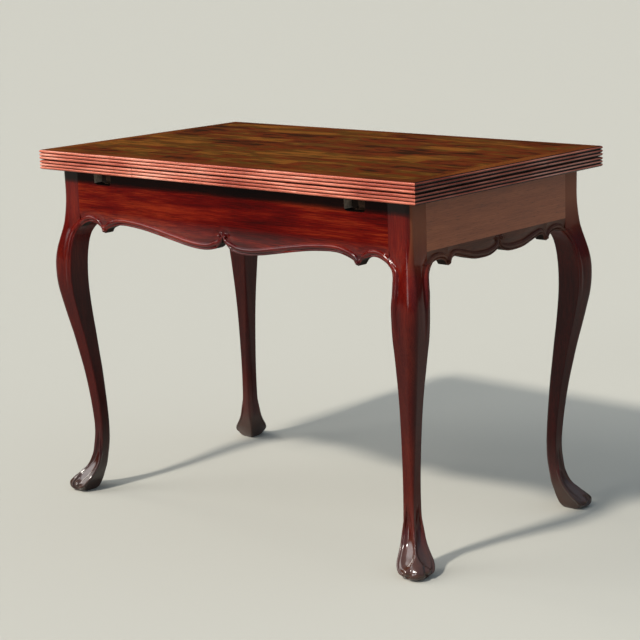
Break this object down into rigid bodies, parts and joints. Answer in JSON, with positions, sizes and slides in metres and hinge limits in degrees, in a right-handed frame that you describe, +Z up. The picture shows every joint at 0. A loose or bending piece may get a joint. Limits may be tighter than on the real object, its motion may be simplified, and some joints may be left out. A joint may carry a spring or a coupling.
{
  "type": "draw-leaf games table",
  "caption": "Rectangular table on cabriole legs with carved scalloped frame boards and a reeded draw-leaf top whose leaves slide out from under the main top along the long sides",
  "frame": {"origin": "on the floor under the centre of the table", "axes": "+X along the long side, +Y towards the back long side, +Z up"},
  "size_m": [1.035, 0.603, 0.76],
  "materials": {
    "mahogany": "polished red-brown",
    "figured_field": "polished figured",
    "plain_wood": "raw",
    "felt": "felt",
    "screw_steel": "dull"
  },
  "bodies": {
    "frame": {"apron_back": "mahogany", "apron_front": "mahogany", "apron_left": "mahogany", "apron_right": "mahogany", "carved_strip_left": "mahogany", "carved_strip_right": "mahogany", "centre_board": "figured_field", "centre_board_lip_left": "mahogany", "centre_board_lip_right": "mahogany", "centre_board_screws": "screw_steel", "corner_block_back_left": "plain_wood", "corner_block_back_right": "plain_wood", "corner_block_front_left": "plain_wood", "corner_block_front_right": "plain_wood", "corner_screws": "screw_steel", "felt_strip_back": "felt", "felt_strip_front": "felt", "guide_screws": "screw_steel", "leg_back_left": "mahogany", "leg_back_right": "mahogany", "leg_front_left": "mahogany", "leg_front_right": "mahogany", "loper_guide_left_inner": "plain_wood", "loper_guide_left_outer": "plain_wood", "loper_guide_right_inner": "plain_wood", "loper_guide_right_outer": "plain_wood"},
    "main_top": {"locating_peg_left": "plain_wood", "locating_peg_right": "plain_wood", "peg_screws": "screw_steel", "top_lip_back": "mahogany", "top_lip_front": "mahogany", "top_lip_left": "mahogany", "top_lip_right": "mahogany", "top_panel": "figured_field"},
    "front_leaf": {"front_leaf_end_lip_left": "mahogany", "front_leaf_end_lip_right": "mahogany", "front_leaf_lip_left": "mahogany", "front_leaf_lip_middle": "mahogany", "front_leaf_lip_right": "mahogany", "front_leaf_loper_left": "plain_wood", "front_leaf_loper_right": "plain_wood", "front_leaf_loper_screws": "screw_steel", "front_leaf_panel": "figured_field", "front_leaf_stop_pegs": "plain_wood"},
    "back_leaf": {"back_leaf_end_lip_left": "mahogany", "back_leaf_end_lip_right": "mahogany", "back_leaf_lip_left": "mahogany", "back_leaf_lip_middle": "mahogany", "back_leaf_lip_right": "mahogany", "back_leaf_loper_left": "plain_wood", "back_leaf_loper_right": "plain_wood", "back_leaf_loper_screws": "screw_steel", "back_leaf_panel": "figured_field", "back_leaf_stop_pegs": "plain_wood"}
  },
  "joints": [
    {"name": "front_leaf_draw", "type": "slide", "parent": "frame", "child": "front_leaf", "axis": [0, -0.9963, 0.0861], "range_m": [0, 0.24943]},
    {"name": "back_leaf_draw", "type": "slide", "parent": "frame", "child": "back_leaf", "axis": [0, 0.9963, 0.0861], "range_m": [0, 0.24963]},
    {"name": "top_lift", "type": "slide", "parent": "frame", "child": "main_top", "axis": [0, 0, 1], "range_m": [0, 0.02158]}
  ],
  "couplings": [
    {"joint": "back_leaf_draw", "follows": "front_leaf_draw", "ratio": 1},
    {"joint": "top_lift", "follows": "front_leaf_draw", "ratio": 0.086123}
  ]
}
